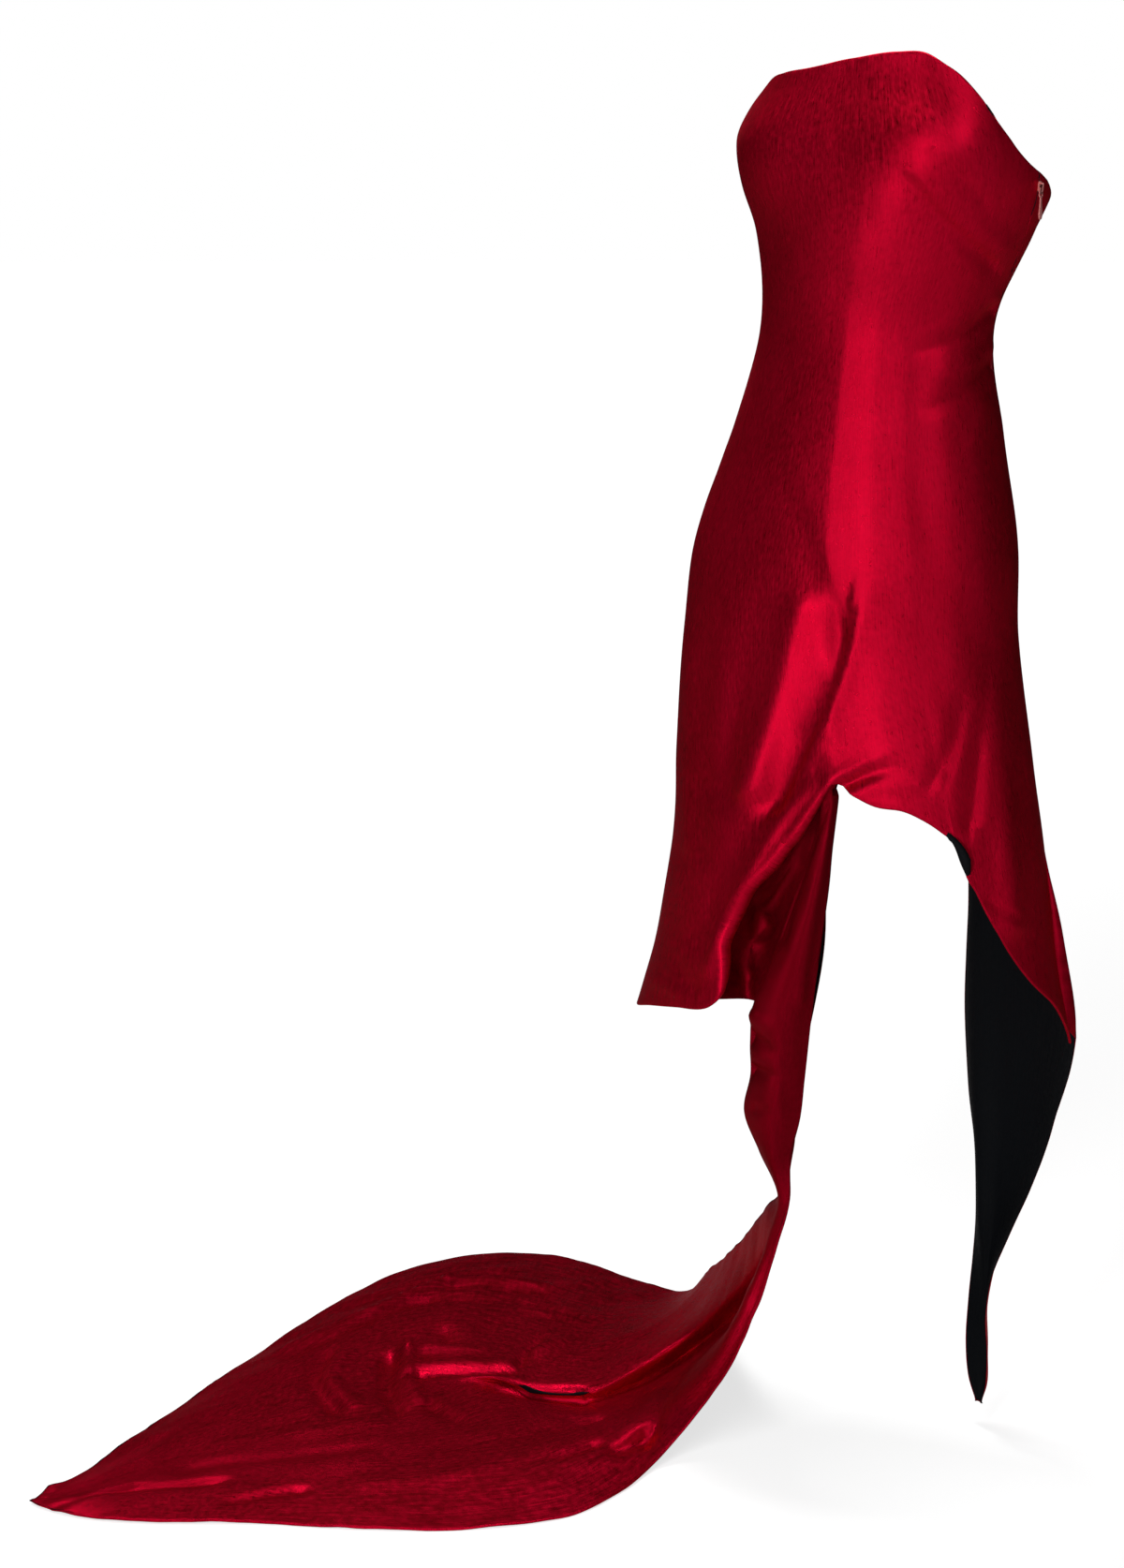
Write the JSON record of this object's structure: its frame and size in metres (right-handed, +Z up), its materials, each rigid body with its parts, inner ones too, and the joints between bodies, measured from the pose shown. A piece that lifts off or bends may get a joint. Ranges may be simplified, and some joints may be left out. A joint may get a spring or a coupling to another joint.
{
  "type": "strapless gown",
  "caption": "Hollow worn strapless gown: fitted satin tube, hem raised at the front, folded strip that spreads into a floor train, pointed lined back tail, side zip with swinging pull tab.",
  "frame": {"origin": "on the body's axis at bust height, where the wearer holds the gown up", "axes": "+Z up, -Y the wearer's front, +X the wearer's left"},
  "size_m": [0.8915, 0.8615, 1.3477],
  "materials": {
    "satin": "glossy satin weave",
    "lining": "smooth matt",
    "zip_cloth": "woven tape",
    "zip_metal": "glossy coral"
  },
  "bodies": {
    "gown": {"front_panel": "satin", "back_panel": "satin", "front_facing": "lining", "tail_lining": "lining", "drape_inset": "satin", "train": "satin", "train_lining": "lining", "zip_tape": "zip_cloth", "zip_slider": "zip_metal"},
    "pull_tab": {"zip_pull": "zip_metal"}
  },
  "joints": [
    {"name": "pull_swing", "type": "hinge", "parent": "gown", "child": "pull_tab", "pos_m": [0.18215, -0.0187, -0.03803], "axis": [-0.1816, -0.9834, 0], "range_deg": [-8, 120]}
  ]
}
